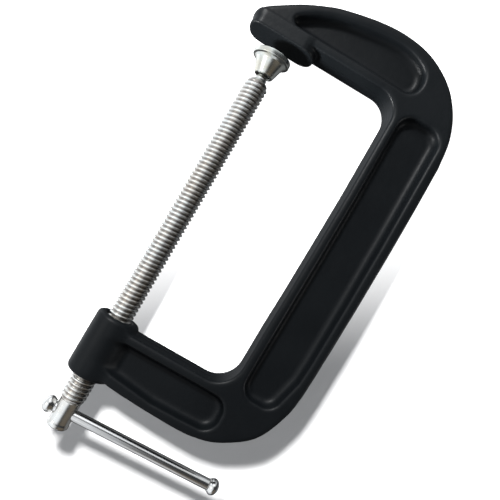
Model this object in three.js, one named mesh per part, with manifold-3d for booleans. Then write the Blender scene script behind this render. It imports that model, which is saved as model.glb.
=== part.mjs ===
// Eight-inch C-clamp. Millimetres, +Z up.
// The origin is the centre of the anvil face, where the screw axis (Z) meets it.
// The frame lies in the XZ plane with its spine at +X, the anvil at the top and
// the threaded boss at the bottom.
// Heights are drawn from a datum that lies DATUM above the anvil face; the whole
// drawing is then raised by DATUM so that the anvil face lies at z = 0.
import * as THREE from 'three';
import { mergeVertices } from 'three/addons/utils/BufferGeometryUtils.js';
import Module from 'manifold-3d';

const wasm = await Module();
wasm.setup();

const { degToRad } = THREE.MathUtils;

// ---- driving dimensions -------------------------------------------------
const DATUM = 1.7;

const FRAME_WIDTH = 28;          // casting, across Y
const WEB_THICKNESS = 11;        // web between the pockets
const THROAT = 93.9;             // screw axis to the inside of the spine, at the top
const SPINE_OUT = 137.2;         // screw axis to the outside of the spine, at the top
const ARM_UNDER = 5.2;           // underside of the upper arm
const LOWER_ARM_TOP = -229.2;
const LOWER_ARM_END = 4;         // x at which the lower arm stops, inside the boss

const BOSS_TOP = -223;
const BOSS_BOTTOM = -267.5;
const BOSS_R = 15.8;
const BORE_R = 9;

const THREAD_MAJOR_R = 8.6;      // over the crests
const THREAD_TOP = -33.4;
const THREAD_BOTTOM = -288.5;
const SHANK_R = 7.3;
const SCREW_END = -308;
const COLLAR_R = 7.7;            // lip at the lower end of the screw
const HOLE_Z = -297;             // cross hole for the bar
const HOLE_R = 4.35;

const BALL_Z = -19.7;            // centre of the ball end
const BALL_R = 5.4;
const SOCKET_R = 5.8;
const PAD_TOP = -11.5;           // pad face
const PAD_HEIGHT = 15.5;
const PAD_BOTTOM = PAD_TOP - PAD_HEIGHT;
const PAD_R = 13.8;
const PAD_TILT = 4;              // degrees the loose pad's face leans towards -X

const BAR_R = 3.95;              // 5/16 in
const BAR_AZIMUTH = 4.5;         // degrees from +X towards +Y
const BAR_START = -15.7;         // outer end of the near cap, along the bar
const BAR_END = 121;             // outer end of the far cap
const CAP_LENGTH = 8;
const CAP_R = 5.9;
const SPIGOT_R = 2.5;            // reduced ends of the bar, inside the caps
const SPIGOT_LENGTH = 5;

// ---- solids and meshes --------------------------------------------------
// Welds a closed geometry and drops its collapsed triangles.
function solid(geometry) {
  geometry.deleteAttribute('normal');
  geometry.deleteAttribute('uv');
  const welded = mergeVertices(geometry, 1e-4);
  const index = welded.index.array;
  const triangles = [];
  for (let i = 0; i < index.length; i += 3) {
    const [a, b, c] = index.subarray(i, i + 3);
    if (a !== b && b !== c && a !== c) triangles.push(a, b, c);
  }
  return new wasm.Manifold(new wasm.Mesh({
    numProp: 3,
    vertProperties: new Float32Array(welded.attributes.position.array),
    triVerts: new Uint32Array(triangles),
  }));
}

function geometryOf(manifold) {
  const mesh = manifold.getMesh();
  const geometry = new THREE.BufferGeometry();
  const positions = new Float32Array(mesh.vertProperties);
  geometry.setAttribute('position', new THREE.BufferAttribute(positions, 3));
  geometry.setIndex(new THREE.BufferAttribute(new Uint32Array(mesh.triVerts), 1));
  geometry.computeVertexNormals();
  return geometry;
}

// ---- shapes -------------------------------------------------------------
const vectors = (points) => points.map(([x, y]) => new THREE.Vector2(x, y));

// Turned about Z from [radius, z] pairs, which run upwards on the outside.
function turned(profile, segments) {
  return new THREE.LatheGeometry(vectors(profile), segments).rotateX(Math.PI / 2);
}

// Drawn in the XZ plane, extruded along Y and centred on y = 0. The edges are
// bevelled: `thickness` along Y, `size` in the plane. Between the bevels the
// outline is grown by `grow`.
function slab(points, width, { thickness, size, segments, grow }) {
  const geometry = new THREE.ExtrudeGeometry(new THREE.Shape(vectors(points)), {
    depth: width - 2 * thickness,
    bevelThickness: thickness,
    bevelSize: size,
    bevelOffset: grow - size,
    bevelSegments: segments,
  });
  geometry.rotateX(Math.PI / 2);                 // shape y -> z, extrusion -> -y
  return geometry.translate(0, width / 2 - thickness, 0);
}

// Drawn in plan (XY) and extruded upwards from z = base.
function upright(points, base, options) {
  return new THREE.ExtrudeGeometry(new THREE.Shape(vectors(points)), options)
    .translate(0, 0, base);
}

// Smooth curve through points, sampled.
function smooth(points, divisions) {
  return new THREE.SplineCurve(vectors(points)).getPoints(divisions).map(({ x, y }) => [x, y]);
}

// Angles in degrees from +X towards +Z.
function arc(centreX, centreZ, radius, from, to, steps) {
  const points = [];
  for (let i = 0; i <= steps; i++) {
    const angle = degToRad(from + (to - from) * i / steps);
    points.push([centreX + radius * Math.cos(angle), centreZ + radius * Math.sin(angle)]);
  }
  return points;
}

// Arc about the ball centre, ending exactly on the screw axis.
function dome(radius, from, steps) {
  return [...arc(0, BALL_Z, radius, from, 90, steps).slice(0, -1), [0, BALL_Z + radius]];
}

// ---- frame --------------------------------------------------------------
const FRAME_EDGE = { thickness: 1, size: 1, segments: 1, grow: 0.5 };
const UPPER_FILLET_R = 18.5;     // upper arm to spine
const LOWER_FILLET_R = 20.6;     // lower arm to spine
const LOWER_FILLET_X = 70.4;

// Outside of the frame, [x, z]: nose, back of the upper arm, spine, lower arm.
const OUTER = [
  ...smooth([
    [-25.8, 6.7], [-21.3, 9.4], [-10.5, 16.8], [0.9, 24.4], [14.3, 31.3], [27.3, 36.4],
    [52.5, 42.3], [74.1, 43.9], [95, 40.3], [114.2, 29.6], [126.9, 14.7], [134.5, -3.3],
    [SPINE_OUT, -24],
  ], 30),
  [SPINE_OUT + 0.2, -62], [136.8, -108], [135.8, -150],
  ...smooth([
    [134.2, -194], [132.9, -211], [130.7, -222.5], [124, -239.5], [115.1, -250.2],
    [98.1, -260.6], [84, -264.4], [71.7, -265.4], [47.4, -264.9], [20, -263.2],
    [LOWER_ARM_END, -260.4],
  ], 22),
];

// Inside of the frame, [x, z], from the boss back up to the nose.
const INNER = [
  [LOWER_ARM_END, LOWER_ARM_TOP],
  ...arc(LOWER_FILLET_X, LOWER_ARM_TOP + LOWER_FILLET_R, LOWER_FILLET_R, -90, 0, 8),
  [91.4, -180], [92.4, -150], [93.2, -110], [THROAT, -70],
  ...arc(THROAT - UPPER_FILLET_R, ARM_UNDER - UPPER_FILLET_R, UPPER_FILLET_R, 0, 90, 8),
  [-27, ARM_UNDER],
];

// Plan limit of the casting, [x, y]: it rounds the nose and clears the rest.
const NOSE_PLAN = [
  [-16, -14.5], [200, -14.5], [200, 14.5], [-16, 14.5], [-19.9, 13.6], [-23.3, 11.2],
  [-25.6, 6.6], [-26.3, 0], [-25.6, -6.6], [-23.3, -11.2], [-19.9, -13.6],
];
const PLAN_BASE = -320;
const PLAN_HEIGHT = 400;

// Pocket rims, [x, z].
const UPPER_ARM_POCKET = smooth([
  [8, 10.2], [30, 10.1], [62, 10.2], [84, 9.6], [92.5, 9.6], [98.4, 14], [100, 22],
  [96.5, 30.5], [86, 36.2], [72, 38.2], [52, 36.4], [30, 32], [15, 26.3], [4, 19.2],
  [0.5, 14.8], [2.6, 11.2], [8, 10.2],
], 44).slice(0, -1);             // the last point repeats the first

const SPINE_CORNER_R = 12.2;     // upper corners of the spine pocket
const SPINE_CORNER_Z = -13.5;
const SPINE_POCKET = [
  ...arc(110.4, SPINE_CORNER_Z, SPINE_CORNER_R, 90, 180, 5),
  [98.3, -70], [97.6, -120], [95.9, -205],
  ...arc(107.1, -215.2, 11.2, 180, 270, 5),
  [112.4, -226.3],
  ...arc(112.4, -215, 11.5, -80, -20, 4),
  [128.3, -200], [129.2, -186], [130.4, -140], [131.1, -90], [131.1, -18],
  ...arc(118.9, SPINE_CORNER_Z, SPINE_CORNER_R, 0, 90, 5),
];

// Runs into the boss.
const LOWER_ARM_POCKET = [
  [0, -233.8], [78, -233.8],
  ...arc(82.5, -244.8, 11, 75, 0, 4),
  ...arc(82, -248, 11.6, -8, -80, 4),
  [70, -260.1], [47, -260.4], [20, -257.3], [0, -254.6],
];

const POCKET_DEPTH = (FRAME_WIDTH - WEB_THICKNESS) / 2;
const POCKET_OVERRUN = 1;        // from the frame face to the middle of the cutter
// The cutter is widest at the face and leans in towards the web.
const POCKET_DRAFT = { thickness: POCKET_DEPTH, size: 1.8, segments: 2, grow: 0 };

function pocketCutter(rim, side) {
  const cutter = slab(rim, 2 * (POCKET_DEPTH + POCKET_OVERRUN), POCKET_DRAFT);
  return solid(cutter.translate(0, side * (FRAME_WIDTH / 2 + POCKET_OVERRUN), 0));
}

// Anvil: an oblong pad under the end of the upper arm, [x, y].
const ANVIL_PLAN = [
  [-18, -13.7], [15.4, -13.7], [20.6, -12.3], [24.4, -8.4], [25.9, -3], [25.9, 3],
  [24.4, 8.4], [20.6, 12.3], [15.4, 13.7], [-18, 13.7], [-22.2, 11.6], [-24.8, 7],
  [-25.6, 0], [-24.8, -7], [-22.2, -11.6],
];
const ANVIL_DEPTH = 8.1;         // between its bevels
const ANVIL_BEVEL = 1;

function anvil() {
  return solid(upright(ANVIL_PLAN, ANVIL_BEVEL - DATUM, {
    depth: ANVIL_DEPTH,
    bevelThickness: ANVIL_BEVEL,
    bevelSize: ANVIL_BEVEL,
    bevelOffset: -ANVIL_BEVEL,
    bevelSegments: 1,
  }));
}

function boss() {
  return solid(turned([
    [0, BOSS_BOTTOM], [BOSS_R - 1.4, BOSS_BOTTOM], [BOSS_R - 0.4, BOSS_BOTTOM + 0.4],
    [BOSS_R, BOSS_BOTTOM + 1.4], [BOSS_R - 0.4, BOSS_TOP - 2.4],
    [BOSS_R - 1.1, BOSS_TOP - 0.8], [BOSS_R - 2.8, BOSS_TOP], [0, BOSS_TOP],
  ], 40));
}

// Plain bore, flared at both ends.
function bore() {
  const flareR = BORE_R + 2;
  return solid(turned([
    [0, BOSS_BOTTOM - 1], [flareR, BOSS_BOTTOM - 1], [BORE_R, BOSS_BOTTOM + 1],
    [BORE_R, BOSS_TOP - 1], [flareR, BOSS_TOP + 1], [0, BOSS_TOP + 1],
  ], 40));
}

function frame() {
  const planLimit = upright(NOSE_PLAN, PLAN_BASE, { depth: PLAN_HEIGHT, bevelEnabled: false });
  let casting = solid(slab([...OUTER, ...INNER], FRAME_WIDTH, FRAME_EDGE));
  casting = casting.intersect(solid(planLimit));
  for (const rim of [UPPER_ARM_POCKET, SPINE_POCKET, LOWER_ARM_POCKET]) {
    for (const side of [-1, 1]) casting = casting.subtract(pocketCutter(rim, side));
  }
  return casting.add(anvil()).add(boss()).subtract(bore());
}

// ---- screw --------------------------------------------------------------
const HOLE_CUTTER_LENGTH = 30;

// Turns a piece drawn along Z to lie along the bar, through the cross hole.
function layAlongBar(geometry) {
  const azimuth = degToRad(BAR_AZIMUTH);
  const barAxis = new THREE.Vector3(Math.cos(azimuth), Math.sin(azimuth), 0);
  const turn = new THREE.Quaternion().setFromUnitVectors(new THREE.Vector3(0, 0, 1), barAxis);
  return geometry.applyQuaternion(turn).translate(0, 0, HOLE_Z);
}

// The thread is a plain cylinder over its crests.
function screw() {
  const body = solid(turned([
    [0, SCREW_END], [6.9, SCREW_END], [COLLAR_R, SCREW_END + 0.9],
    [COLLAR_R, SCREW_END + 2.8], [SHANK_R, SCREW_END + 3.8],
    [SHANK_R, THREAD_BOTTOM - 1.2], [THREAD_MAJOR_R, THREAD_BOTTOM],
    [THREAD_MAJOR_R, THREAD_TOP - 1.6], [7, THREAD_TOP],
    [4.9, THREAD_TOP + 1.4], [4.6, -30], [3.5, -28.4],       // neck below the ball
    ...dome(BALL_R, -50, 7),
  ], 32));
  const hole = new THREE.CylinderGeometry(HOLE_R, HOLE_R, HOLE_CUTTER_LENGTH, 24);
  return body.subtract(solid(layAlongBar(hole.rotateX(Math.PI / 2))));
}

// ---- swivel pad and its ring --------------------------------------------
const PAD_MOUTH_R = 4.75;
const PAD_RECESS_R = 6;          // hollow between the mouth and the socket

// Listed from the face down the outside and back up the socket, then reversed.
function swivelPad() {
  return solid(turned([
    [0, PAD_TOP], [PAD_R - 0.5, PAD_TOP], [PAD_R, PAD_TOP - 0.5],
    [PAD_R, PAD_TOP - 3.2], [PAD_R - 0.5, PAD_TOP - 3.7], [11.6, PAD_TOP - 4.3],
    [10.3, PAD_TOP - 6], [9.5, PAD_TOP - 8.2], [8.5, PAD_TOP - 11.2],
    [7.5, PAD_BOTTOM + 1], [6.8, PAD_BOTTOM],
    [PAD_MOUTH_R, PAD_BOTTOM], [PAD_MOUTH_R, PAD_BOTTOM + 1],
    [PAD_RECESS_R, PAD_BOTTOM + 1.4], [PAD_RECESS_R, BALL_Z - 1.4],
    ...dome(SOCKET_R, 0, 5),
  ].reverse(), 36));
}

const RING = { innerR: 4, outerR: 5.05, bottom: -25, top: -24.2 };

function retainingRing() {
  const { innerR, outerR, bottom, top } = RING;
  return solid(turned([
    [innerR, bottom], [outerR, bottom], [outerR, top], [innerR, top], [innerR, bottom],
  ], 24));
}

// ---- tommy bar and caps -------------------------------------------------
const SPIGOT_CLEARANCE = 0.35;   // round and beyond the spigot in its cap
const CAP_GAP = 0.3;             // between the cap and the shoulder of the bar

function tommyBar() {
  const nearShoulder = BAR_START + CAP_LENGTH;
  const farShoulder = BAR_END - CAP_LENGTH;
  return solid(layAlongBar(turned([
    [0, nearShoulder - SPIGOT_LENGTH], [SPIGOT_R, nearShoulder - SPIGOT_LENGTH],
    [SPIGOT_R, nearShoulder], [BAR_R, nearShoulder],
    [BAR_R, farShoulder], [SPIGOT_R, farShoulder],
    [SPIGOT_R, farShoulder + SPIGOT_LENGTH], [0, farShoulder + SPIGOT_LENGTH],
  ], 24)));
}

// [radius, distance from the outer end towards the bar]
const SOCKET_WALL = SPIGOT_R + SPIGOT_CLEARANCE;
const SOCKET_FLOOR = CAP_LENGTH - SPIGOT_LENGTH - SPIGOT_CLEARANCE;
const CAP_PROFILE = [
  [0, 0], [2.3, 0.3], [4.2, 1.3], [5.4, 2.7], [CAP_R, 4.2], [5.6, 5.6], [4.9, 6.8],
  [4.4, CAP_LENGTH - CAP_GAP], [SOCKET_WALL, CAP_LENGTH - CAP_GAP],
  [SOCKET_WALL, SOCKET_FLOOR], [0, SOCKET_FLOOR],
];

// inward: +1 or -1, the way along the bar from the cap's outer end to its open end.
function cap(outerEnd, inward) {
  const profile = CAP_PROFILE.map(([radius, inset]) => [radius, outerEnd + inward * inset]);
  if (inward < 0) profile.reverse();
  return solid(layAlongBar(turned(profile, 24)));
}

// ---- materials ----------------------------------------------------------
function metal({ color, roughness }) {
  return new THREE.MeshStandardMaterial({ color, roughness, metalness: 1 });
}

const MATERIALS = {
  frame: new THREE.MeshStandardMaterial({ color: 0x1d2023, roughness: 0.45, metalness: 0 }),
  screw: metal({ color: 0xb9b8b2, roughness: 0.3 }),
  ring: metal({ color: 0x8f9092, roughness: 0.35 }),
  bar: metal({ color: 0xc6c7c9, roughness: 0.22 }),
  nearCap: metal({ color: 0xc2c4c8, roughness: 0.22 }),
  farCap: metal({ color: 0xc2c4c9, roughness: 0.22 }),
  pad: metal({ color: 0xbdbfc1, roughness: 0.25 }),
};

// ---- assembly -----------------------------------------------------------
const clamp = new THREE.Group();
clamp.name = 'c_clamp';
const drawing = new THREE.Group();
drawing.position.z = DATUM;
clamp.add(drawing);

function piece(name, manifold, material, parent = drawing) {
  const mesh = new THREE.Mesh(geometryOf(manifold), material);
  mesh.name = name;
  parent.add(mesh);
  return mesh;
}

piece('frame', frame(), MATERIALS.frame);
piece('screw', screw(), MATERIALS.screw);
piece('pad_retaining_ring', retainingRing(), MATERIALS.ring);
piece('tommy_bar', tommyBar(), MATERIALS.bar);
piece('bar_cap_near', cap(BAR_START, 1), MATERIALS.nearCap);
piece('bar_cap_far', cap(BAR_END, -1), MATERIALS.farCap);

// The pad leans about the centre of the ball.
const padPivot = new THREE.Group();
padPivot.position.z = BALL_Z;
padPivot.rotation.y = -degToRad(PAD_TILT);
drawing.add(padPivot);
piece('swivel_pad', swivelPad(), MATERIALS.pad, padPivot).position.z = -BALL_Z;

export default clamp;
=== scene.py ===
"""A C-clamp: an I-section casting, a threaded screw, a swivel pad and a tommy bar.

The screw's axis is world Z. The frame opens towards -X and its spine lies at +X; Y runs across
its width, and the camera looks from -Y. Pieces are drawn in millimetres from a datum 1.7 mm
above the anvil face, then lifted by DATUM so that the anvil face lies at z = 0.
"""
import itertools
import math
import bmesh
import bpy
import numpy as np
from mathutils import Matrix, Vector


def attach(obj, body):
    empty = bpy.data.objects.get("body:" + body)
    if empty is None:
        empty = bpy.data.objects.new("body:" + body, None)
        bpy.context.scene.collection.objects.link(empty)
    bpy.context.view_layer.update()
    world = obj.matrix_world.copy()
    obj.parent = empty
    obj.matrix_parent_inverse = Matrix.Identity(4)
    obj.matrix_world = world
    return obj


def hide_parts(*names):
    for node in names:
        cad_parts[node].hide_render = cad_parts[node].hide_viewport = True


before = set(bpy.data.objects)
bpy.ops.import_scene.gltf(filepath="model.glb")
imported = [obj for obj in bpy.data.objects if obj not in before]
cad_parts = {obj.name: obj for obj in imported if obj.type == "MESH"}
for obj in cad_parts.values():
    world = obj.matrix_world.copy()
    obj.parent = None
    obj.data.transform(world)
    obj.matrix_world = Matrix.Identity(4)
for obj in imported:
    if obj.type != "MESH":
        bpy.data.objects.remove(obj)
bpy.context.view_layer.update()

MM = 0.001

# ---------------------------------------------------------------------------
# Driving dimensions, in millimetres and degrees
# ---------------------------------------------------------------------------
DATUM = 1.7

# Frame
FRAME_WIDTH, WEB = 28.0, 11.0
THROAT, SPINE_OUT = 93.9, 137.2            # x of the spine's inner and outer faces
ARM_UNDER, LOWER_ARM_TOP = 5.2, -229.2     # z of the faces that look into the opening
BOSS_TOP, BOSS_BOTTOM, BOSS_R = -223.0, -267.5, 15.4
BORE_R, BORE_CEILING = 9.1, -200.0

# Thread
MAJOR_R, MINOR_R, PITCH = 8.6, 7.25, 3.175
THREAD_TOP, THREAD_BOTTOM = -33.4, -288.5
CREST, ROOT = 0.24, 0.10                   # flats, in pitches
CLEARANCE = 0.28                           # radial, female over male
FEMALE_END_R, FEMALE_OUTER_R = 8.95, 10.05

# Screw
SHANK_R, SCREW_END = 7.3, -308.0
COLLAR_R = 7.75                            # rim at the screw's lower end
NECK_R = 7.1                               # where the thread runs out at the top
HOLE_Z, HOLE_R = -297.0, 4.35
BALL_Z, BALL_R = -19.7, 5.4

# Pad
PAD_TOP, PAD_HEIGHT, PAD_R, PAD_TILT = -11.5, 15.5, 13.8, 4.0
SOCKET_R = 5.8

# Tommy bar: places along it are measured from the screw's axis
BAR_R, BAR_AZIMUTH, BAR_START, BAR_END = 3.95, 4.5, -15.7, 121.0
PIN_R, PIN_LENGTH = 2.5, 5.0
CAP_LENGTH, CAP_R = 8.0, 5.9
CAP_SOCKET_R, CAP_SOCKET_DEPTH = 2.85, 5.35

# Mesh fineness
GRID = 0.9          # step of the casting's distance field
SEGMENTS = 48        # round the screw
PHASES = 12                                # rows in one pitch of thread

BAR_DIR = Vector((math.cos(math.radians(BAR_AZIMUTH)), math.sin(math.radians(BAR_AZIMUTH)), 0.0))
BAR_TURN = Vector((0, 0, 1)).rotation_difference(BAR_DIR).to_matrix().to_4x4()
ALONG_BAR = Matrix.Translation((0, 0, HOLE_Z * MM)) @ BAR_TURN


# ---------------------------------------------------------------------------
# Outlines
# ---------------------------------------------------------------------------
def catmull(points, steps, closed=False):
    """Uniform Catmull-Rom curve through the points."""
    p = np.asarray(points, float)
    n = len(p)
    curve = []
    for i in range(n if closed else n - 1):
        if closed:
            p0, p1, p2, p3 = p[(i - 1) % n], p[i], p[(i + 1) % n], p[(i + 2) % n]
        else:
            p1, p2 = p[i], p[i + 1]
            p0 = p[i - 1] if i else p1
            p3 = p[i + 2] if i + 2 < n else p2
        v0, v1 = (p2 - p0) * 0.5, (p3 - p1) * 0.5
        for k in range(steps):
            t = k / steps
            curve.append((2 * p1 - 2 * p2 + v0 + v1) * t ** 3
                         + (-3 * p1 + 3 * p2 - 2 * v0 - v1) * t ** 2 + v0 * t + p1)
    if not closed:
        curve.append(p[-1])
    return [tuple(point) for point in curve]


def arc(centre_x, centre_z, radius, start, end, steps):
    """Points of an arc, its angles in degrees."""
    angles = [math.radians(start + (end - start) * i / steps) for i in range(steps + 1)]
    return [(centre_x + radius * math.cos(a), centre_z + radius * math.sin(a)) for a in angles]


def mirrored(half):
    """Points running to y = 0, continued by their mirror image across it."""
    return half + [(x, -y) for x, y in reversed(half[:-1])]


def rounded_profile(corners, steps):
    """A polyline of (x, z, corner radius) with its corners replaced by arcs."""
    points = [np.asarray(corner[:2], float) for corner in corners]
    profile = [tuple(points[0])]
    for i in range(1, len(points) - 1):
        corner, radius = points[i], corners[i][2]
        if not radius:
            profile.append(tuple(corner))
            continue
        before, after = points[i - 1] - corner, points[i + 1] - corner
        length_before, length_after = np.linalg.norm(before), np.linalg.norm(after)
        before, after = before / length_before, after / length_after
        half = math.acos(float(np.clip(before @ after, -1, 1))) / 2
        # an arc never takes more than about half of either side
        tangent = min(radius / math.tan(half), length_before * 0.49, length_after * 0.49)
        radius = tangent * math.tan(half)
        middle = before + after
        middle = middle / np.linalg.norm(middle)
        centre = corner + middle * (radius / math.sin(half))
        start, end = corner + before * tangent - centre, corner + after * tangent - centre
        angle = math.atan2(start[1], start[0])
        sweep = (math.atan2(end[1], end[0]) - angle + math.pi) % (2 * math.pi) - math.pi
        for k in range(steps + 1):
            a = angle + sweep * k / steps
            profile.append((centre[0] + radius * math.cos(a), centre[1] + radius * math.sin(a)))
    profile.append(tuple(points[-1]))
    return profile


# ---------------------------------------------------------------------------
# Meshes
# ---------------------------------------------------------------------------
def link(obj):
    bpy.context.scene.collection.objects.link(obj)
    return obj


def shade_smooth(mesh):
    mesh.polygons.foreach_set("use_smooth", [True] * len(mesh.polygons))


def mesh_object(name, verts_mm, faces):
    mesh = bpy.data.meshes.new(name)
    mesh.from_pydata((np.asarray(verts_mm, float) * MM).tolist(), [], faces)
    mesh.validate()
    mesh.update()
    shade_smooth(mesh)
    return link(bpy.data.objects.new(name, mesh))


def clean(obj, merge=1e-6):
    """Merge doubled vertices (distance in metres) and turn the normals outwards."""
    bm = bmesh.new()
    bm.from_mesh(obj.data)
    bmesh.ops.remove_doubles(bm, verts=bm.verts, dist=merge)
    bmesh.ops.dissolve_degenerate(bm, edges=bm.edges, dist=1e-8)
    bmesh.ops.recalc_face_normals(bm, faces=bm.faces)
    bm.to_mesh(obj.data)
    bm.free()
    shade_smooth(obj.data)
    obj.data.update()
    return obj


def join(objects, name):
    """One object from several, which are removed."""
    bm = bmesh.new()
    for obj in objects:
        bm.from_mesh(obj.data)
    mesh = bpy.data.meshes.new(name)
    bm.to_mesh(mesh)
    bm.free()
    shade_smooth(mesh)
    joined = link(bpy.data.objects.new(name, mesh))
    for obj in objects:
        old = obj.data
        bpy.data.objects.remove(obj)
        bpy.data.meshes.remove(old)
    return joined


def circle(radius, z, segments):
    angles = [2 * math.pi * j / segments for j in range(segments)]
    return [(radius * math.cos(a), radius * math.sin(a), z) for a in angles]


def lathe(profile, segments):
    """Vertices and faces of (radius, z) pairs turned about Z; radius 0 closes on the axis."""
    verts, faces, rings = [], [], []
    for radius, z in profile:
        ring = [(0.0, 0.0, z)] if radius < 1e-9 else circle(radius, z, segments)
        rings.append(list(range(len(verts), len(verts) + len(ring))))
        verts += ring
    for low, high in zip(rings, rings[1:]):
        for j in range(segments):
            k = (j + 1) % segments
            if len(low) == 1:
                faces.append((low[0], high[k], high[j]))
            elif len(high) == 1:
                faces.append((low[j], low[k], high[0]))
            else:
                faces.append((low[j], low[k], high[k], high[j]))
    return verts, faces


def turned(name, profile, segments):
    return clean(mesh_object(name, *lathe(profile, segments)))


def move(obj, matrix):
    obj.data.transform(matrix)
    obj.data.update()


def split_edges(obj, degrees):
    """Keep edges sharper than this angle crisp."""
    obj.modifiers.new("crisp_edges", "EDGE_SPLIT").split_angle = math.radians(degrees)


def set_material(obj, material):
    obj.data.materials.clear()
    obj.data.materials.append(material)


def install(obj, material, replaced, group):
    """Lift a piece from the datum, coat it and put it in place of a CAD piece."""
    move(obj, Matrix.Translation((0, 0, DATUM * MM)))
    set_material(obj, material)
    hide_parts(replaced)
    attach(obj, group)


# ---------------------------------------------------------------------------
# Shader building
# ---------------------------------------------------------------------------
class Shader:
    """The node tree of a material or a world. Inputs take values or other nodes' outputs."""

    def __init__(self, owner, output_kind):
        owner.use_nodes = True
        self.tree = owner.node_tree
        self.tree.nodes.clear()
        self.output = self.tree.nodes.new(output_kind)

    def feed(self, socket, value):
        if isinstance(value, bpy.types.NodeSocket):
            self.tree.links.new(value, socket)
        elif socket.type == "RGBA":
            socket.default_value = (*value, 1)
        else:
            socket.default_value = value

    def node(self, kind, inputs=None, **settings):
        node = self.tree.nodes.new(kind)
        for name, value in settings.items():
            setattr(node, name, value)
        for key, value in (inputs or {}).items():
            self.feed(node.inputs[key], value)
        return node

    def finish(self, surface):
        self.feed(self.output.inputs[0], surface)

    def math(self, operation, a, b=None, clamp=False):
        inputs = {0: a} if b is None else {0: a, 1: b}
        return self.node("ShaderNodeMath", inputs, operation=operation, use_clamp=clamp).outputs[0]

    def multiply(self, a, b, clamp=False):
        return self.math("MULTIPLY", a, b, clamp)

    def above(self, value, threshold, gain):
        """0 up to the threshold, then rising by gain to 1."""
        return self.multiply(self.math("SUBTRACT", value, threshold), gain, clamp=True)

    def below(self, value, threshold, gain):
        """0 down to the threshold, then rising by gain to 1."""
        return self.multiply(self.math("SUBTRACT", threshold, value), gain, clamp=True)

    def linear(self, value, gain, base):
        return self.math("ADD", self.multiply(value, gain), base)

    def plus(self, total, value, gain, clamp=False):
        return self.math("ADD", total, self.multiply(value, gain), clamp)

    def vector_math(self, operation, vector, constant):
        node = self.node("ShaderNodeVectorMath", {0: vector, 1: constant}, operation=operation)
        return node.outputs["Value"]

    def smooth_range(self, value, start, end, at_start=0.0, at_end=1.0):
        inputs = {"Value": value, "From Min": start, "From Max": end,
                  "To Min": at_start, "To Max": at_end}
        return self.node("ShaderNodeMapRange", inputs, interpolation_type="SMOOTHSTEP").outputs[0]

    def ramp(self, value, black_at, white_at):
        node = self.node("ShaderNodeValToRGB", {0: value})
        black, white = node.color_ramp.elements
        black.position, white.position = black_at, white_at
        return node.outputs[0]

    def mix(self, factor, a, b):
        inputs = {"Factor": factor, 6: a, 7: b}    # 6 and 7 are the colour inputs A and B
        return self.node("ShaderNodeMix", inputs, data_type="RGBA").outputs[2]

    def noise(self, vector, scale, detail=3.0, roughness=0.55, distortion=0.0):
        inputs = {"Vector": vector, "Scale": scale, "Detail": detail,
                  "Roughness": roughness, "Distortion": distortion}
        return self.node("ShaderNodeTexNoise", inputs).outputs["Fac"]

    def stretch(self, vector, scale):
        return self.node("ShaderNodeMapping", {"Vector": vector, "Scale": scale}).outputs["Vector"]

    def bump(self, height, strength, distance, normal=None):
        inputs = {"Height": height, "Strength": strength, "Distance": distance}
        if normal is not None:
            inputs["Normal"] = normal
        return self.node("ShaderNodeBump", inputs).outputs["Normal"]

    def object_coordinates(self):
        return self.node("ShaderNodeTexCoord").outputs["Object"]

    def pointiness(self):
        return self.node("ShaderNodeNewGeometry").outputs["Pointiness"]

    def separate(self, vector):
        return self.node("ShaderNodeSeparateXYZ", {0: vector}).outputs

    def camera_ray(self):
        return self.node("ShaderNodeLightPath").outputs["Is Camera Ray"]


def new_material(name):
    material = bpy.data.materials.new(name)
    return material, Shader(material, "ShaderNodeOutputMaterial")


# ---------------------------------------------------------------------------
# Materials
# ---------------------------------------------------------------------------
def paint_material(name):
    """Black paint over a sand-cast skin, worn to grey metal on the outer edges, which are also
    lightened as a painted highlight.
    """
    material, s = new_material(name)
    place = s.object_coordinates()
    pointiness = s.pointiness()
    peel = s.noise(place, scale=620, detail=2.0, roughness=0.5)      # orange peel in the film
    cast = s.noise(place, scale=210, detail=4.0, roughness=0.6, distortion=0.3)
    broad = s.noise(place, scale=26, roughness=0.5)                  # slow unevenness
    fine = s.noise(place, scale=1900, detail=2.0, roughness=0.6)

    # convex edges near the casting's two side faces, not inside the pockets
    edge = s.above(pointiness, threshold=0.535, gain=16.0)
    across = s.math("ABSOLUTE", s.separate(place)[1])
    edge = s.multiply(edge, s.above(across, threshold=0.0078, gain=500.0))
    breakup = s.ramp(s.noise(place, scale=330, detail=4.0, roughness=0.65),
                     black_at=0.50, white_at=0.66)
    # worn edges, lightened partly as a painted highlight along the rims
    wear_and_sheen = s.multiply(edge, breakup, clamp=True)
    spots = s.ramp(s.noise(s.stretch(place, (1, 1, 1)), scale=95, detail=5.0, roughness=0.7),
                   black_at=0.735, white_at=0.75)
    wear_sheen_amount, spot_amount = 0.8, 0.6
    bare_and_sheen = s.math("MAXIMUM", s.multiply(wear_and_sheen, wear_sheen_amount),
                  s.multiply(s.multiply(spots, edge), spot_amount), clamp=True)

    dark, light = (0.0016, 0.0021, 0.0027), (0.0038, 0.0049, 0.0058)
    # metal is the worn grey of the edges, which also stands in for a painted highlight
    speck, metal = (0.0065, 0.0076, 0.0086), (0.075, 0.073, 0.070)
    speck_amount, bare_metallic = 0.35, 0.7
    colour = s.mix(broad, dark, light)
    colour = s.mix(s.multiply(fine, speck_amount), colour, speck)
    colour = s.mix(bare_and_sheen, colour, metal)
    roughness = s.linear(broad, gain=0.16, base=0.30)
    roughness = s.plus(roughness, cast, gain=0.10)
    roughness = s.plus(roughness, bare_and_sheen, gain=0.12, clamp=True)
    skin = s.bump(cast, strength=0.30, distance=0.00045)
    s.finish(s.node("ShaderNodeBsdfPrincipled", {
        "Base Color": colour,
        "Roughness": roughness,
        "Normal": s.bump(peel, strength=0.22, distance=0.00016, normal=skin),
        "Specular IOR Level": 0.10,
        "Metallic": s.multiply(bare_and_sheen, bare_metallic),
    }).outputs[0])
    return material


# stretch of the noise that makes the tool marks
TURNED = (60, 60, 5200)        # rings round the axis
DRAWN = (90, 3600, 3600)       # long marks along X

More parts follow.
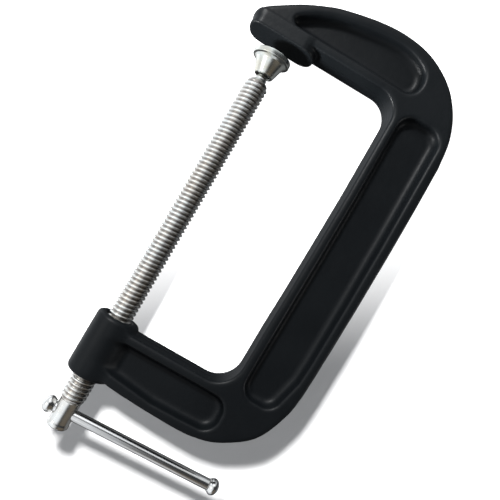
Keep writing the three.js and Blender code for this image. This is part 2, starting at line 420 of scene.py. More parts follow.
ROOT_SHADE_START_R, ROOT_SHADE_FULL_R = 8.05, 7.30        # painted shade in the thread roots deepens between these radii
ROOT_SHADE_BOTTOM, ROOT_SHADE_TOP = -288.0, -33.5


def thread_root_shade(s, place, mottle):
    """Strength of the painted shade in the thread roots."""
    x, y, z = s.separate(place)
    radius = s.math("SQRT", s.math("ADD", s.multiply(x, x), s.multiply(y, y)))
    depth = s.smooth_range(radius, ROOT_SHADE_START_R * MM, ROOT_SHADE_FULL_R * MM)
    span = s.multiply(s.math("GREATER_THAN", z, (ROOT_SHADE_BOTTOM + DATUM) * MM),
                      s.math("LESS_THAN", z, (ROOT_SHADE_TOP + DATUM) * MM))
    patches = s.linear(mottle, gain=0.35, base=0.55)
    return s.multiply(s.multiply(depth, span), patches, clamp=True)


def zinc_material(name, bright, tint, roughness, warmth, grain=TURNED, streaks=0.1,
                  shaded_roots=False):
    """Plated metal: tool marks, cloudy tint, painted shade in recesses and scuffed edges lightened
    partly as a painted highlight.

    warmth is the strength of the tint, streaks the roughness that the tool marks add."""
    material, s = new_material(name)
    place = s.object_coordinates()
    pointiness = s.pointiness()
    cloud = s.noise(place, scale=70, detail=4.0, roughness=0.6, distortion=0.4)
    mottle = s.noise(place, scale=420, roughness=0.6)
    marks = s.noise(s.stretch(place, grain), scale=1.0, roughness=0.6)
    # painted shade in the hollows, from low pointiness
    recess_shade = s.below(pointiness, threshold=0.47, gain=14.0)
    edge = s.above(pointiness, threshold=0.54, gain=12.0)

    cloud_shade, recess_shade_amount, scuff_highlight_amount, scuff_polish = 0.78, 0.55, 0.5, 0.06
    recess_shade_colour, scuff_highlight_colour = (0.10, 0.085, 0.065), (0.92, 0.92, 0.93)
    # colour of the painted shade in the thread roots
    root_shade_colour = (0.20, 0.165, 0.14)
    colour = s.mix(cloud, bright, tuple(v * cloud_shade for v in bright))
    patches = s.ramp(cloud, black_at=0.42, white_at=0.66)
    colour = s.mix(s.multiply(patches, warmth), colour, tint)
    # the hollows darkened toward brown as painted shade
    colour = s.mix(s.multiply(recess_shade, recess_shade_amount), colour, recess_shade_colour)
    # scuffed edges lightened toward white, partly as a painted highlight
    colour = s.mix(s.multiply(edge, scuff_highlight_amount), colour, scuff_highlight_colour)
    # painted shade in the thread roots
    if shaded_roots:
        colour = s.mix(thread_root_shade(s, place, mottle), colour, root_shade_colour)
    rough = s.linear(marks, gain=streaks, base=roughness)
    rough = s.plus(rough, mottle, gain=0.10)
    rough = s.math("SUBTRACT", rough, s.multiply(edge, scuff_polish), clamp=True)
    scored = s.bump(marks, strength=0.10, distance=0.00004)
    s.finish(s.node("ShaderNodeBsdfPrincipled", {
        "Metallic": 1.0,
        "Base Color": colour,
        "Roughness": rough,
        "Normal": s.bump(mottle, strength=0.10, distance=0.00006, normal=scored),
    }).outputs[0])
    return material


FRAME_PAINT = paint_material("frame_paint_black")
SCREW_ZINC = zinc_material("screw_zinc_plate", bright=(0.86, 0.87, 0.85), tint=(0.72, 0.64, 0.55),
                           roughness=0.13, warmth=0.45, shaded_roots=True)
PAD_ZINC = zinc_material("pad_zinc_plate", bright=(0.82, 0.85, 0.81), tint=(0.66, 0.58, 0.42),
                         roughness=0.14, warmth=0.6)
BAR_ZINC = zinc_material("bar_zinc_plate", bright=(0.86, 0.86, 0.85), tint=(0.68, 0.64, 0.57),
                         roughness=0.10, warmth=0.2, grain=DRAWN)
RING_STEEL = zinc_material("ring_spring_steel", bright=(0.42, 0.42, 0.43), tint=(0.30, 0.26, 0.20),
                           roughness=0.28, warmth=0.3, streaks=0.125)


# ---------------------------------------------------------------------------
# Frame casting: one filleted surface from a distance field
# ---------------------------------------------------------------------------
# Side view, (x, z). The outer edge runs from the nose over the top arm and down to the boss.
OUTER = catmull([
    (-25.8, 6.7), (-21.3, 9.4), (-10.5, 16.8), (0.9, 24.4), (14.3, 31.3), (27.3, 36.4),
    (52.5, 42.3), (74.1, 43.9), (95, 40.3), (114.2, 29.6), (126.9, 14.7), (134.5, -3.3),
    (SPINE_OUT, -24),
], 14) + catmull([
    (SPINE_OUT, -26), (SPINE_OUT + 0.2, -62), (136.8, -108), (135.8, -150), (134.2, -194),
    (132.9, -211), (130.7, -222.5), (124, -239.5), (115.1, -250.2), (98.1, -260.6),
    (84, -264.4), (71.7, -265.4), (47.4, -264.9), (20, -263.2), (4, -260.4),
], 12)

# The inner edge runs back along the lower arm, up the spine and out under the top arm.
LOWER_CORNER_R, UPPER_CORNER_R = 20.6, 18.5
INNER = [
    (4, LOWER_ARM_TOP),
    *arc(70.4, LOWER_ARM_TOP + LOWER_CORNER_R, LOWER_CORNER_R, -90, 0, 28),
    (91.4, -180), (92.4, -150), (93.2, -110), (THROAT, -70),
    *arc(THROAT - UPPER_CORNER_R, ARM_UNDER - UPPER_CORNER_R, UPPER_CORNER_R, 0, 90, 26),
    (-28, ARM_UNDER),
]

# Pockets sunk in both side faces, (x, z)
TOP_ARM_POCKET = catmull([
    (8, 10.2), (30, 10.1), (62, 10.2), (84, 9.6), (92.5, 9.6), (98.4, 14), (100, 22),
    (96.5, 30.5), (86, 36.2), (72, 38.2), (52, 36.4), (30, 32), (15, 26.3), (4, 19.2),
    (0.5, 14.8), (2.6, 11.2),
], 8, closed=True)
SPINE_POCKET = [
    *arc(110.4, -13.5, 12.2, 90, 180, 14),
    (98.3, -70), (97.6, -120), (95.9, -205),
    *arc(107.1, -215.2, 11.2, 180, 270, 12),
    (112.4, -226.3),
    *arc(112.4, -215, 11.5, -80, -20, 9),
    (128.3, -200), (129.2, -186), (130.4, -140), (131.1, -90), (131.1, -18),
    *arc(118.9, -13.5, 12.2, 0, 90, 14),
]
LOWER_ARM_POCKET = [
    (-6, -233.8), (78, -233.8),
    *arc(82.5, -244.8, 11, 75, 0, 10),
    *arc(82, -248, 11.6, -8, -80, 10),
    (70, -260.1), (47, -260.4), (20, -257.3), (-6, -254.0),
]

# Plans from above, (x, y): the limit of the whole casting, and the anvil
NOSE_PLAN = [
    (-16, -14.6), (200, -14.6), (200, 14.6), (-16, 14.6),
    *catmull(mirrored([(-18.6, 14.2), (-21.8, 13.0), (-24.6, 9.9), (-26.2, 5.4), (-26.8, 0)]), 6),
]
ANVIL_PLAN = [
    (-18, -13.9), (15.4, -13.9),
    *catmull(mirrored([(18.4, -13.3), (21.6, -11.5), (24.2, -8.4), (25.6, -4.2), (25.9, 0)]), 5),
    (15.4, 13.9), (-18, 13.9),
    *catmull(mirrored([(-20.4, 13.1), (-22.9, 10.8), (-25.0, 6.8), (-25.8, 0)]), 5),
]
ANVIL_CEILING = 9.0            # hidden inside the arm

X_RANGE, Y_RANGE, Z_RANGE = (-31.0, 142.0), (-19.0, 19.0), (-273.0, 50.0)

# Parting line and mould draft
SEAM_HEIGHT, SEAM_WIDTH = 0.16, 0.7
DRAFT, DRAFT_OFFSET = 0.022, 1.65
POCKET_DRAFT = 1.8             # how far a pocket's walls close in from face to web
BOSS_BARREL = 0.00022          # taper of the boss per square of the height from its middle
BORE_CHAMFER, CHAMFER_SLOPE, CHAMFER_LIMIT = 1.3, 0.9, 2.6


def polygon_distance(polygon, grid_a, grid_b, chunk=24):
    """Signed distance to a closed polygon, negative inside, taken a few edges at a time."""
    start = np.asarray(polygon, float)
    end = np.roll(start, -1, axis=0)
    edge = end - start
    length2 = np.maximum((edge ** 2).sum(1), 1e-12)
    a, b = grid_a.ravel()[:, None], grid_b.ravel()[:, None]
    nearest = np.full(len(a), 1e18)
    inside = np.zeros(len(a), bool)
    for first in range(0, len(start), chunk):
        part = slice(first, first + chunk)
        edge_a, edge_b = edge[None, part, 0], edge[None, part, 1]
        from_a, from_b = a - start[None, part, 0], b - start[None, part, 1]
        t = np.clip((from_a * edge_a + from_b * edge_b) / length2[None, part], 0, 1)
        distance2 = (from_a - t * edge_a) ** 2 + (from_b - t * edge_b) ** 2
        nearest = np.minimum(nearest, distance2.min(1))
        spans = (start[None, part, 1] <= b) != (end[None, part, 1] <= b)
        side = (from_a * edge_b - from_b * edge_a) * np.sign(edge_b)
        inside ^= ((spans & (side < 0)).sum(1) % 2).astype(bool)
    distance = np.sqrt(nearest)
    distance[inside] *= -1
    return distance.reshape(grid_a.shape)


def bilinear(field, origin_u, origin_v, u, v):
    """Value of a sampled plane field at the points u, v."""
    u, v = (u - origin_u) / GRID, (v - origin_v) / GRID
    i = np.clip(np.floor(u).astype(int), 0, field.shape[0] - 2)
    j = np.clip(np.floor(v).astype(int), 0, field.shape[1] - 2)
    a, b = u - i, v - j
    return (field[i, j] * (1 - a) * (1 - b) + field[i + 1, j] * a * (1 - b)
            + field[i, j + 1] * (1 - a) * b + field[i + 1, j + 1] * a * b)


def smooth_min(a, b, blend):
    h = np.clip(0.5 + 0.5 * (b - a) / blend, 0, 1)
    return b * (1 - h) + a * h - blend * h * (1 - h)


def smooth_max(a, b, blend):
    return -smooth_min(-a, -b, blend)


def surface_nets(field, origin, step):
    """Vertices and quads of the zero surface of a sampled field, negative inside."""
    inside = field < 0
    size = field.shape
    count = np.zeros([n - 1 for n in size], np.int8)
    for corner in itertools.product((0, 1), repeat=3):
        count += inside[tuple(slice(d, n - 1 + d) for d, n in zip(corner, size))]
    active = (count > 0) & (count < 8)
    cells = np.argwhere(active)
    index = np.full(active.shape, -1, np.int64)
    index[active] = np.arange(len(cells))

    # each vertex is the mean of the crossings on its cell's twelve edges
    points = np.zeros((len(cells), 3))
    crossings = np.zeros(len(cells))
    for axis in range(3):
        u, v = [a for a in range(3) if a != axis]
        for du, dv in itertools.product((0, 1), repeat=2):
            start = cells.copy()
            start[:, u] += du
            start[:, v] += dv
            end = start.copy()
            end[:, axis] += 1
            value, next_value = field[tuple(start.T)], field[tuple(end.T)]
            cross = (value < 0) != (next_value < 0)
            change = np.where(value == next_value, 1, value - next_value)
            point = start.astype(float)
            point[:, axis] += np.where(cross, value / change, 0)
            points[cross] += point[cross]
            crossings[cross] += 1
    points /= crossings[:, None]

    # each crossed grid edge makes a quad between the four cells round it
    quads = []
    for axis in range(3):
        u, v = (axis + 1) % 3, (axis + 2) % 3
        near = [slice(1, n - 1) for n in size]
        far = list(near)
        near[axis] = slice(0, size[axis] - 1)
        far[axis] = slice(1, size[axis])
        a, b = inside[tuple(near)], inside[tuple(far)]
        for flip, crossed in ((False, a & ~b), (True, ~a & b)):
            base = np.argwhere(crossed) + 1
            base[:, axis] -= 1
            around = []
            for du, dv in ((-1, -1), (0, -1), (0, 0), (-1, 0)):
                cell = base.copy()
                cell[:, u] += du
                cell[:, v] += dv
                around.append(index[tuple(cell.T)])
            quad = np.stack(around, 1)
            quads.append(quad[:, ::-1] if flip else quad)
    quads = np.concatenate(quads)
    return np.asarray(origin) + points * step, quads[(quads >= 0).all(1)]


def casting_field(x, y, z, side_distances, plan_distances):
    """Signed distance to the casting, from its outlines' distances in side view and plan."""
    outline, *pockets = side_distances
    nose, anvil_plan = plan_distances
    across, half = np.abs(y), FRAME_WIDTH / 2

    # drafted away from the parting line, which keeps a low seam
    seam = SEAM_HEIGHT * np.exp(-(y / SEAM_WIDTH) ** 2)
    edge = outline + DRAFT * across - DRAFT_OFFSET - seam
    body = smooth_max(edge, across - half, blend=2.8)
    body = smooth_max(body, nose, blend=3.4)
    for pocket in pockets:
        depth = np.clip((half - across) / (half - WEB / 2), -0.3, 1.1)
        wall = pocket + POCKET_DRAFT * depth
        hole = smooth_max(wall, WEB / 2 - across, blend=5.0)
        body = smooth_max(body, -hole, blend=2.2)

    anvil = smooth_max(anvil_plan, -z - DATUM, blend=1.3)
    anvil = smooth_max(anvil, z - ANVIL_CEILING, blend=0.6)
    body = smooth_min(body, anvil, blend=1.6)

    # boss, a little barrel shaped, blended into both flanges and the web
    radius = np.hypot(x, y)
    barrel = radius - BOSS_R + BOSS_BARREL * (z - (BOSS_TOP + BOSS_BOTTOM) / 2) ** 2
    boss = smooth_max(barrel, np.maximum(z - BOSS_TOP, BOSS_BOTTOM - z), blend=3.4)
    body = smooth_min(body, boss, blend=4.2)

    # bore with chamfered mouths
    mouth = np.maximum(0, np.maximum(z - (BOSS_TOP - BORE_CHAMFER),
                                     (BOSS_BOTTOM + BORE_CHAMFER) - z))
    bore = np.maximum(radius - BORE_R - np.minimum(mouth, CHAMFER_LIMIT) * CHAMFER_SLOPE,
                      z - BORE_CEILING)
    return smooth_max(body, -bore, blend=0.5)


def build_casting():
    xs, ys, zs = [np.arange(low, high + GRID, GRID) for low, high in (X_RANGE, Y_RANGE, Z_RANGE)]
    side_grid = np.meshgrid(xs, zs, indexing="ij")
    plan_grid = np.meshgrid(xs, ys, indexing="ij")
    side_outlines = (OUTER + INNER, TOP_ARM_POCKET, SPINE_POCKET, LOWER_ARM_POCKET)
    side = [polygon_distance(outline, *side_grid) for outline in side_outlines]
    plan = [polygon_distance(outline, *plan_grid) for outline in (NOSE_PLAN, ANVIL_PLAN)]

    def field_at(points):
        x, y, z = points[:, 0], points[:, 1], points[:, 2]
        return casting_field(x, y, z, [bilinear(d, xs[0], zs[0], x, z) for d in side],
                             [bilinear(d, xs[0], ys[0], x, y) for d in plan])

    field = casting_field(xs[:, None, None], ys[None, :, None], zs[None, None, :],
                          [d[:, None, :] for d in side], [d[:, :, None] for d in plan])
    verts, quads = surface_nets(field, (xs[0], ys[0], zs[0]), GRID)

    # settle every vertex on the true surface by Newton steps
    probe, longest_step, least_slope2 = 0.15, 0.5, 0.05
    for _ in range(3):
        value = field_at(verts)
        slope = np.stack([(field_at(verts + d) - field_at(verts - d)) / (2 * probe)
                          for d in np.eye(3) * probe], 1)
        slope2 = np.maximum((slope ** 2).sum(1), least_slope2)
        verts = verts - np.clip(value / slope2, -longest_step, longest_step)[:, None] * slope
    return mesh_object("frame_casting", verts, quads.tolist())


# ---------------------------------------------------------------------------
# Threads
# ---------------------------------------------------------------------------
def thread_radius(extra):
    """Function from phase (0 to 1 over a pitch) to radius, with eased crests and roots."""
    low, high = MINOR_R + extra, MAJOR_R + extra
    root_end = ROOT / 2
    crest_start, crest_end = 0.5 - CREST / 2, 0.5 + CREST / 2
    root_run, root_rise = 0.04, 0.10       # easing beside the root: pitches, mm
    crest_run, crest_drop = 0.03, 0.12     # easing beside the crest
    phases, radii = zip(
        (0.0, low), (root_end, low), (root_end + root_run, low + root_rise),
        (crest_start - crest_run, high - crest_drop), (crest_start, high),
        (crest_end, high), (crest_end + crest_run, high - crest_drop),
        (1 - root_end - root_run, low + root_rise), (1 - root_end, low), (1.0, low))
    return lambda phase: float(np.interp(phase, phases, radii))


def thread_surface(z_low, z_high, radius_at, end_radius):
    """Right-hand helical grid, one pitch a turn, fading to end_radius(z) at both ends."""
    rows = (int(math.ceil((z_high - z_low) / PITCH)) + 2) * PHASES
    fade_length = 0.9 * PITCH
    index, verts, faces = {}, [], []

    def vert(i, j):
        if j == SEGMENTS:                  # a full turn meets the row one pitch up
            i, j = i + PHASES, 0
        if (i, j) in index:
            return index[i, j]
        helix_z = z_low - PITCH + (i / PHASES + j / SEGMENTS) * PITCH
        z = min(max(helix_z, z_low), z_high)
        radius = end_radius(z)
        if z_low < helix_z < z_high:
            fade = min(1.0, (helix_z - z_low) / fade_length, (z_high - helix_z) / fade_length)
            radius += (radius_at((i / PHASES) % 1.0) - radius) * fade
        angle = 2 * math.pi * j / SEGMENTS
        index[i, j] = len(verts)
        verts.append((radius * math.cos(angle), radius * math.sin(angle), z))
        return index[i, j]

    for i in range(rows):
        for j in range(SEGMENTS):
            faces.append((vert(i, j), vert(i, j + 1), vert(i + 1, j + 1), vert(i + 1, j)))
    return verts, faces


def build_female_thread():
    """A closed threaded ring set into the bore."""
    inset = 1.0
    # a whole number of pitches above the screw's thread start, so that both share phase
    pitches = math.ceil((BOSS_BOTTOM + inset - THREAD_BOTTOM) / PITCH)
    z_low, z_high = THREAD_BOTTOM + PITCH * pitches, BOSS_TOP - inset
    verts, faces = thread_surface(z_low, z_high, thread_radius(CLEARANCE), lambda z: FEMALE_END_R)
    inner_low = len(verts)
    inner_high, outer_low, outer_high = [inner_low + SEGMENTS * k for k in (1, 2, 3)]
    for radius in (FEMALE_END_R, FEMALE_OUTER_R):
        for z in (z_low, z_high):
            verts += circle(radius, z, SEGMENTS)
    for j in range(SEGMENTS):
        k = (j + 1) % SEGMENTS
        for a, b in ((inner_low, outer_low), (inner_high, outer_high), (outer_low, outer_high)):
            faces.append((a + j, a + k, b + k, b + j))
    return clean(mesh_object("female_thread", verts, faces), merge=2e-6)


# ---------------------------------------------------------------------------
# Screw
# ---------------------------------------------------------------------------
def screw_end_radius(z):
    return SHANK_R if z < -150 else NECK_R     # below or above the middle of the thread


def cut_cross_hole(screw):
    """Cut a hole with eased mouths right through the screw, along the bar."""
    half = [(0, -14), (6.0, -14), (5.2, -8.1), (HOLE_R + 0.12, -6.8), (HOLE_R, -6.3)]
    cutter = turned("hole_cutter", half + [(r, -z) for r, z in reversed(half)], 48)
    move(cutter, ALONG_BAR)
    boolean = screw.modifiers.new("cross_hole", "BOOLEAN")
    boolean.operation = "DIFFERENCE"
    boolean.solver = "EXACT"
    boolean.object = cutter
    depsgraph = bpy.context.evaluated_depsgraph_get()
    drilled = bpy.data.meshes.new_from_object(screw.evaluated_get(depsgraph))
    screw.modifiers.clear()
    solid = screw.data
    screw.data = drilled
    bpy.data.meshes.remove(solid)
    bpy.data.objects.remove(cutter)
    shade_smooth(drilled)


def build_screw():
    # (radius, z, corner radius), from the lower end up past the cross hole
    shank = rounded_profile([
        (0, SCREW_END + 0.4, 0), (5.0, SCREW_END + 0.1, 1.0), (6.9, SCREW_END, 0.4),
        (COLLAR_R, SCREW_END + 0.9, 0.6), (COLLAR_R, SCREW_END + 2.8, 0.9),
        (SHANK_R, SCREW_END + 4.0, 1.2), (SHANK_R, -299, 0), (SHANK_R, -295, 0),
        (SHANK_R, -291, 0), (SHANK_R, THREAD_BOTTOM, 0),
    ], 5)
    # (radius, z), from the thread up to the ball
    neck = [
        (NECK_R, THREAD_TOP), (6.3, THREAD_TOP + 0.8), (5.3, THREAD_TOP + 1.3),
        (4.62, THREAD_TOP + 2.0), (4.6, -30.4), (4.4, -29.6), (3.8, -28.9), (3.5, -28.2),
        (3.5, -25.8),
    ]
    ball = arc(0, BALL_Z, BALL_R, -48, 90, 23)
    verts, faces = [], []
    for part_verts, part_faces in (
            thread_surface(THREAD_BOTTOM, THREAD_TOP, thread_radius(0.0), screw_end_radius),
            lathe(shank, SEGMENTS),
            lathe(neck + ball, SEGMENTS)):
        first = len(verts)
        verts += part_verts
        faces += [tuple(i + first for i in face) for face in part_faces]
    screw = clean(mesh_object("screw_threaded", verts, faces), merge=3e-6)
    cut_cross_hole(screw)
    split_edges(screw, 42)
    return screw


# ---------------------------------------------------------------------------
# Swivel pad
# ---------------------------------------------------------------------------
def build_pad():
    """Turned pad with a round socket for the ball, tilted about the ball's centre."""
    bottom = PAD_TOP - PAD_HEIGHT
    # (radius, z, corner radius): over the face, down the outside, up into the mouth
    profile = rounded_profile([
        (0, PAD_TOP, 0), (PAD_R, PAD_TOP, 0.5), (PAD_R, PAD_TOP - 3.6, 0.5),
        (12.1, PAD_TOP - 4.1, 0.7), (10.7, PAD_TOP - 5.2, 1.6), (9.7, PAD_TOP - 7.6, 6.0),
        (8.6, PAD_TOP - 10.6, 6.0), (7.3, bottom + 1.3, 1.6), (6.75, bottom, 0.45),
        (4.75, bottom, 0.3), (4.75, bottom + 1.0, 0.3), (6.0, bottom + 1.4, 0.3),
        (6.0, BALL_Z - 1.4, 0),
    ], 6)
    pad = turned("swivel_pad_turned", profile + arc(0, BALL_Z, SOCKET_R, 0, 90, 10), 96)
    move(pad, Matrix.Translation((0, 0, BALL_Z * MM))
         @ Matrix.Rotation(math.radians(-PAD_TILT), 4, "Y")
         @ Matrix.Translation((0, 0, -BALL_Z * MM)))
    return pad


# ---------------------------------------------------------------------------
# Tommy bar and its caps
# ---------------------------------------------------------------------------
def build_bar_piece(name, profile, split_angle):
    piece = turned(name, profile, 64)
    move(piece, ALONG_BAR)
    split_edges(piece, split_angle)
    return piece


def build_rod():
    """The rod, with a thin pin at each end that enters the cap."""
    start, end = BAR_START + CAP_LENGTH, BAR_END - CAP_LENGTH
    # (radius, place along the bar, corner radius)
    profile = rounded_profile([
        (0, start - PIN_LENGTH, 0), (PIN_R, start - PIN_LENGTH, 0.3), (PIN_R, start, 0),
        (BAR_R, start, 0.4), (BAR_R, end, 0.4), (PIN_R, end, 0),
        (PIN_R, end + PIN_LENGTH, 0.3), (0, end + PIN_LENGTH, 0),
    ], 4)
    return build_bar_piece("tommy_bar_rod", profile, 40)


def build_cap(name, outer_end, inward):
    """A hollow cap; inward is the sign of the direction from its outer end to the rod."""
    rim = CAP_LENGTH - 0.3
    socket_floor = CAP_LENGTH - CAP_SOCKET_DEPTH
    # (radius, distance from the outer end, corner radius)
    profile = rounded_profile([
        (0, 0.0, 0), (1.2, 0.05, 1.5), (2.5, 0.25, 4), (4.3, 1.2, 4), (5.45, 2.6, 4),
        (CAP_R, 4.2, 3), (5.6, 5.5, 4), (4.85, 6.7, 2), (4.45, rim, 0.2),
        (CAP_SOCKET_R, rim, 0), (CAP_SOCKET_R, socket_floor, 0), (0, socket_floor, 0),
    ], 4)
    return build_bar_piece(name, [(r, outer_end + inward * h) for r, h in profile], 46)


# ---------------------------------------------------------------------------
# The pieces
# ---------------------------------------------------------------------------
frame_piece = join([build_casting(), build_female_thread()], "frame_casting_painted")
install(frame_piece, FRAME_PAINT, "frame", "frame")
install(build_screw(), SCREW_ZINC, "screw", "screw")
install(build_pad(), PAD_ZINC, "swivel_pad", "pad")
# the ring inside the pad's mouth is the CAD solid itself, already in place
set_material(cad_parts["pad_retaining_ring"], RING_STEEL)
install(build_rod(), BAR_ZINC, "tommy_bar", "handle")
for cap_name, outer_end, inward, replaced in (
        ("bar_cap_near_turned", BAR_START, 1, "bar_cap_near"),
        ("bar_cap_far_turned", BAR_END, -1, "bar_cap_far")):
    install(build_cap(cap_name, outer_end, inward), BAR_ZINC, replaced, "handle")


# ---------------------------------------------------------------------------
# Stage, in metres
# ---------------------------------------------------------------------------
FLOOR_Z, SHEET_Y, STAGE_REACH = -0.52, 0.136, 4
FLOOR_GLOW = 0.92


def stage_plane(name, corners):
    mesh = bpy.data.meshes.new(name)
    mesh.from_pydata(corners, [], [(0, 1, 2, 3)])
    mesh.update()
    plane = link(bpy.data.objects.new(name, mesh))
    return plane


def pale_material(name, albedo, glow_level):
    """Pale surface, clear from behind, that glows for the camera only.

    glow_level(shader, position) gives the glow, 0 to 1."""
    material, s = new_material(name)
    geometry = s.node("ShaderNodeNewGeometry").outputs
    diffuse = s.node("ShaderNodeBsdfDiffuse", {"Color": (albedo, albedo, albedo)})
    strength = s.multiply(s.camera_ray(), glow_level(s, geometry["Position"]))
    glow = s.node("ShaderNodeEmission", {"Color": (1, 1, 1), "Strength": strength})
    front = s.node("ShaderNodeAddShader", {0: diffuse.outputs[0], 1: glow.outputs[0]})
    clear = s.node("ShaderNodeBsdfTransparent")
    sided = {0: geometry["Backfacing"], 1: front.outputs[0], 2: clear.outputs[0]}
    s.finish(s.node("ShaderNodeMixShader", sided).outputs[0])
    return material


def sheet_glow(s, position):
    """Full white, except for a soft region low behind the clamp that can show its shadow."""
    camera_down = (0.513, 0.0, -0.859)
    shadow_centre = (0.07, SHEET_Y, -0.24)
    shadow_depth = 0.995
    low = s.smooth_range(s.vector_math("DOT_PRODUCT", position, camera_down),
                         start=0.11, end=0.27)
    near = s.smooth_range(s.vector_math("DISTANCE", position, shadow_centre),
                          start=0.24, end=0.40, at_start=1.0, at_end=0.0)
    return s.math("SUBTRACT", 1.0, s.multiply(s.multiply(low, near), shadow_depth))


R = STAGE_REACH
floor = stage_plane("studio_floor", [(-R, -R, FLOOR_Z), (R, -R, FLOOR_Z),
                                     (R, R, FLOOR_Z), (-R, R, FLOOR_Z)])
floor.data.materials.append(pale_material("floor_pale", 0.25, lambda s, position: FLOOR_GLOW))
floor.visible_glossy = False

# upright sheet clear of the handle's sweep, seen from its front side only; takes the shadow
sheet = stage_plane("studio_sheet", [(-R, SHEET_Y, FLOOR_Z), (R, SHEET_Y, FLOOR_Z),
                                     (R, SHEET_Y, R), (-R, SHEET_Y, R)])
sheet.data.materials.append(pale_material("sheet_pale", 0.50, sheet_glow))
for ray_kind in ("diffuse", "glossy", "transmission", "volume_scatter", "shadow"):
    setattr(sheet, f"visible_{ray_kind}", False)


# ---------------------------------------------------------------------------
# World: white to the camera, a dim room with bright fields to the objects
# ---------------------------------------------------------------------------
# direction of each field's centre, cosine where it starts, cosine where it is full, level
WORLD_FIELDS = {
    "left": ((-0.94, -0.34, 0.0), 0.02, 0.46, 0.98),
    "camera_gap": ((0.0, -0.92, 0.39), 0.955, 0.985, 0.62),    # taken away from the others
    "top": ((0.0, -0.36, 0.93), 0.74, 0.84, 0.85),
    "rear_left": ((-0.75, 0.65, 0.10), 0.72, 0.90, 0.45),
    "under": ((-0.35, -0.30, -0.89), 0.55, 0.86, 0.30),
    "warm_right": ((0.68, -0.42, -0.60), 0.76, 0.96, 0.11),
    "front_low": ((0.0, -0.30, -0.954), 0.88, 0.96, 0.75),
    "rear_top": ((0.35, 0.55, 0.75), 0.86, 0.95, 0.12),
    "rear_right": ((0.80, 0.58, -0.15), 0.80, 0.94, 0.16),
}
AMBIENT = 0.045
COOL, WARM = (0.93, 0.96, 1.0), (1.0, 0.80, 0.56)


def build_world():
    world = bpy.data.worlds.new("studio_world")
    s = Shader(world, "ShaderNodeOutputWorld")

    def field(direction, start, full, level):
        generated = s.node("ShaderNodeTexCoord").outputs["Generated"]
        cosine = s.vector_math("DOT_PRODUCT", generated, Vector(direction).normalized())
        return s.smooth_range(cosine, start, full, at_end=level)

    def background(colour, strength):
        return s.node("ShaderNodeBackground", {0: colour, 1: strength}).outputs[0]

    fields = {name: field(*values) for name, values in WORLD_FIELDS.items()}
    level = s.math("ADD", fields["left"], fields["top"])
    level = s.math("MAXIMUM", s.math("SUBTRACT", level, fields["camera_gap"]), 0.0)
    level = s.math("ADD", level, fields["rear_left"])
    rest = s.math("ADD", fields["rear_right"], s.math("ADD", fields["rear_top"], AMBIENT))
    level = s.math("ADD", s.math("ADD", level, rest), fields["under"])
    level = s.math("MAXIMUM", level, fields["front_low"])
    room = s.node("ShaderNodeAddShader", {0: background(COOL, level),
                                          1: background(WARM, fields["warm_right"])})
    s.finish(s.node("ShaderNodeMixShader", {0: s.camera_ray(), 1: room.outputs[0],
                                            2: background((1, 1, 1), 1.0)}).outputs[0])
    return world


scene = bpy.context.scene
scene.view_settings.view_transform = "Standard"
scene.view_settings.look = "None"
scene.world = build_world()


# ---------------------------------------------------------------------------
# Lights, in metres and watts
# ---------------------------------------------------------------------------
CENTRE = Vector((0.055, 0, -0.13 + DATUM * MM))


def receivers(name, objects):
    """A collection of the objects that a light reaches."""
    collection = bpy.data.collections.new(name)
    for obj in objects:
        collection.objects.link(obj)
    return collection


def add_light(name, kind, location, target, energy, lit, **settings):
    data = bpy.data.lights.new(name, kind)
    data.energy = energy
    for key, value in settings.items():
        setattr(data, key, value)
    light = link(bpy.data.objects.new(name, data))
    light.location = location
    aim = Vector(target) - Vector(location)
    light.rotation_euler = aim.to_track_quat("-Z", "Y").to_euler()
    light.light_linking.receiver_collection = lit
    return light


def area(name, offset, size, energy, lit, **settings):
    """Area light aimed at the clamp's centre, placed by its offset from there."""
    return add_light(name, "AREA", CENTRE + Vector(offset), CENTRE, energy, lit,
                     size=size, **settings)


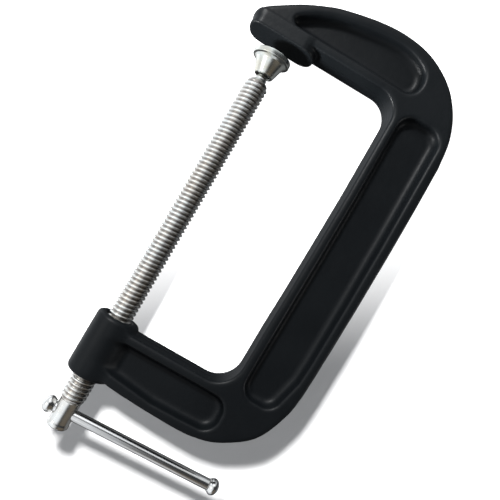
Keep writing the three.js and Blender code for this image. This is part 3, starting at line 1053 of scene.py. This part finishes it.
all_pieces = receivers("lit_by_the_studio", [obj for obj in scene.objects
                                             if obj.type == "MESH" and obj is not sheet])
sheet_only = receivers("lit_for_the_shadow", [sheet])
paint_and_floor = receivers("lit_by_the_key", [frame_piece, floor])
area("key_light", (-0.80, -1.10, 0.80), size=0.20, energy=34, lit=paint_and_floor)
area("left_soft", (-1.10, -1.00, -0.31), size=0.55, energy=3, lit=all_pieces,
     color=(1.0, 0.99, 0.97))
back = area("back_light", (0.5, 1.2, 0.7), size=0.8, energy=14, lit=all_pieces)
rear = area("back_fill", (-0.9, 0.9, 0.1), size=0.7, energy=7, lit=all_pieces)
back.visible_glossy = rear.visible_glossy = False
area("side_fill", (1.15, -0.15, 0.05), size=0.6, energy=7, lit=paint_and_floor)

# narrow soft beam from low on the left, onto the undersides of the anvil and the upper arm
add_light("underside_beam", "SPOT", (-0.25, -0.08, -0.30), target=(0.03, 0.0, -0.004),
          energy=30, lit=receivers("lit_by_the_beam", [frame_piece]),
          spot_size=math.radians(30), spot_blend=1.0, shadow_soft_size=0.05)
# small light that throws the clamp's shadow on the sheet
add_light("shadow_light", "AREA", (-0.006, -0.336, -0.109), target=(0.04, SHEET_Y, -0.188),
          energy=8.8, lit=sheet_only, size=0.020)


# ---------------------------------------------------------------------------
# Camera: in front of the clamp, rolled about its line of sight
# ---------------------------------------------------------------------------
CAMERA_PLACE = (40.01, -335.58, -150.37 + DATUM)       # mm
CAMERA_TURN = (-0.0256, -0.0512, 0.5271)       # rotation vector in radians, in camera axes
LENS, SENSOR_WIDTH = 34.4664, 36


def camera_matrix():
    turn = np.array(CAMERA_TURN)
    angle = float(np.linalg.norm(turn))
    x, y, z = turn / angle
    cross = np.array([[0, -z, y], [z, 0, -x], [-y, x, 0]])
    turned_by = np.eye(3) + math.sin(angle) * cross + (1 - math.cos(angle)) * cross @ cross
    # rows: the camera's right, down and forward directions before and after the turn
    level = np.array([[1, 0, 0], [0, 0, -1], [0, 1, 0.0]])
    right, down, forward = turned_by @ level
    matrix = Matrix(np.stack((right, -down, -forward), 1).tolist()).to_4x4()
    matrix.translation = Vector(CAMERA_PLACE) * MM
    return matrix


camera_data = bpy.data.cameras.new("camera")
camera_data.sensor_width = SENSOR_WIDTH
camera_data.lens = LENS
camera_data.clip_start, camera_data.clip_end = 0.01, 20
camera = link(bpy.data.objects.new("camera", camera_data))
camera.matrix_world = camera_matrix()
scene.camera = camera

# ---------------------------------------------------------------------------
# Finish
# ---------------------------------------------------------------------------
bpy.context.view_layer.update()
